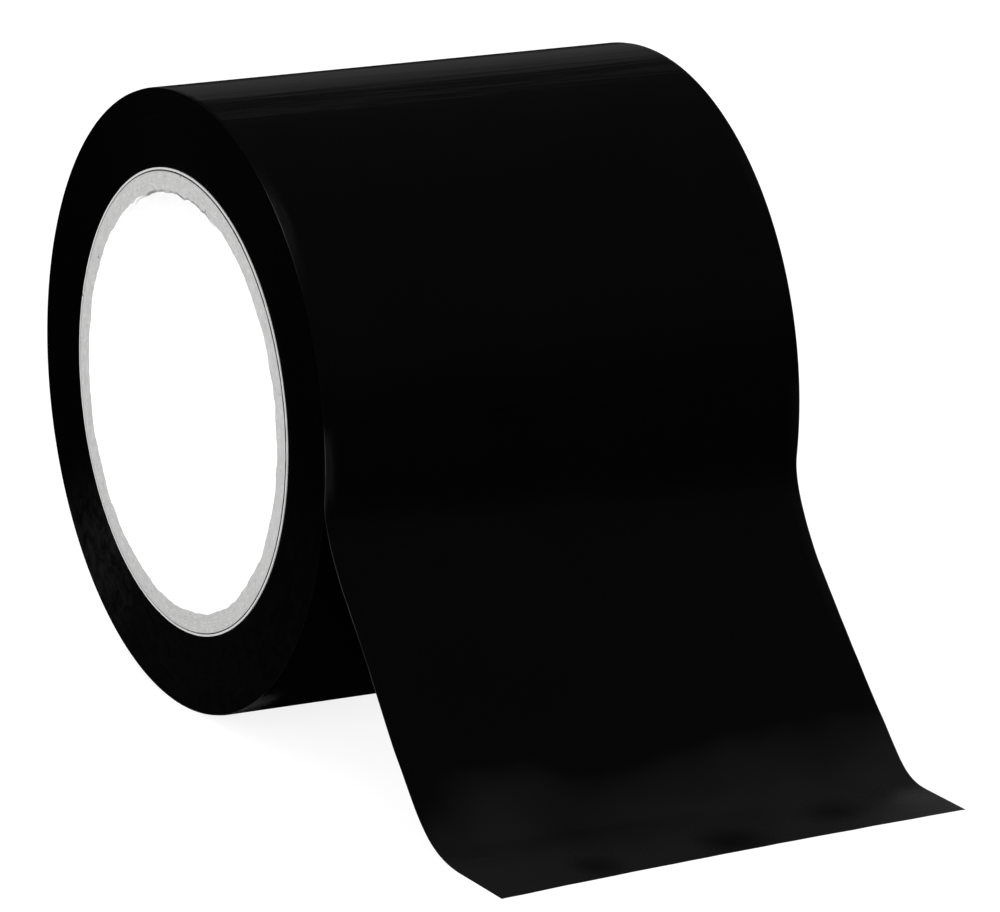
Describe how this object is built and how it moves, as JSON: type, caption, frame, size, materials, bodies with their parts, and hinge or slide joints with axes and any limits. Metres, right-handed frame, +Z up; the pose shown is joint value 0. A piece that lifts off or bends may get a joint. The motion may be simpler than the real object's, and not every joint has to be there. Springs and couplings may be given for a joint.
{
  "type": "adhesive tape roll",
  "caption": "Wide roll of black adhesive tape on a paper core, standing on its edge, with its loose end peeled back and laid on the ground.",
  "frame": {"origin": "centre of the core's bore at mid width", "axes": "+Y along the roll's axis, +Z up, +X towards the loose end; the roll and the foot of the loose end rest on the plane z = -0.05707"},
  "size_m": [0.1797, 0.0962, 0.1142],
  "materials": {
    "tape_film": "smooth satin plastic film",
    "tape_edge": "slit edges of many turns",
    "adhesive": "tacky rubber coat",
    "chipboard": "grey recycled board, cut edge",
    "white_liner": "smooth white paper"
  },
  "bodies": {
    "roll": {"core_inner_liner": "white_liner", "core_ply_1": "chipboard", "core_ply_2": "chipboard", "core_ply_3": "chipboard", "core_ply_4": "chipboard", "core_ply_5": "chipboard", "core_ply_6": "chipboard", "core_outer_liner": "white_liner", "wound_tape": "tape_edge", "outer_turn_film": "tape_film", "outer_turn_adhesive": "adhesive"},
    "peel_upper": {"peel_upper_film": "tape_film", "peel_upper_adhesive": "adhesive"},
    "peel_middle": {"peel_middle_film": "tape_film", "peel_middle_adhesive": "adhesive"},
    "peel_lower": {"peel_lower_film": "tape_film", "peel_lower_adhesive": "adhesive"},
    "tail_upper": {"tail_upper_film": "tape_film", "tail_upper_adhesive": "adhesive"},
    "tail_lower": {"tail_lower_film": "tape_film", "tail_lower_adhesive": "adhesive"},
    "tail_foot": {"tail_foot_film": "tape_film", "tail_foot_adhesive": "adhesive"}
  },
  "joints": [
    {"name": "peel_upper_lift", "type": "hinge", "parent": "roll", "child": "peel_upper", "pos_m": [0.00497, 0, 0.05679], "axis": [0, -1, 0], "range_deg": [0, 25]},
    {"name": "peel_middle_lift", "type": "hinge", "parent": "peel_upper", "child": "peel_middle", "pos_m": [0.0327, 0, 0.0467], "axis": [0, -1, 0], "range_deg": [0, 25]},
    {"name": "peel_lower_lift", "type": "hinge", "parent": "peel_middle", "child": "peel_lower", "pos_m": [0.05166, 0, 0.02409], "axis": [0, -1, 0], "range_deg": [0, 25]},
    {"name": "peel_line_lift", "type": "hinge", "parent": "peel_lower", "child": "tail_upper", "pos_m": [0.05679, 0, -0.00497], "axis": [0, -1, 0], "range_deg": [0, 50]},
    {"name": "tail_bend", "type": "hinge", "parent": "tail_upper", "child": "tail_lower", "pos_m": [0.07805, 0, -0.03545], "axis": [0, -1, 0], "range_deg": [-20, 30]},
    {"name": "foot_bend", "type": "hinge", "parent": "tail_lower", "child": "tail_foot", "pos_m": [0.09295, 0, -0.05088], "axis": [0, -1, 0], "range_deg": [-40, 40]}
  ]
}
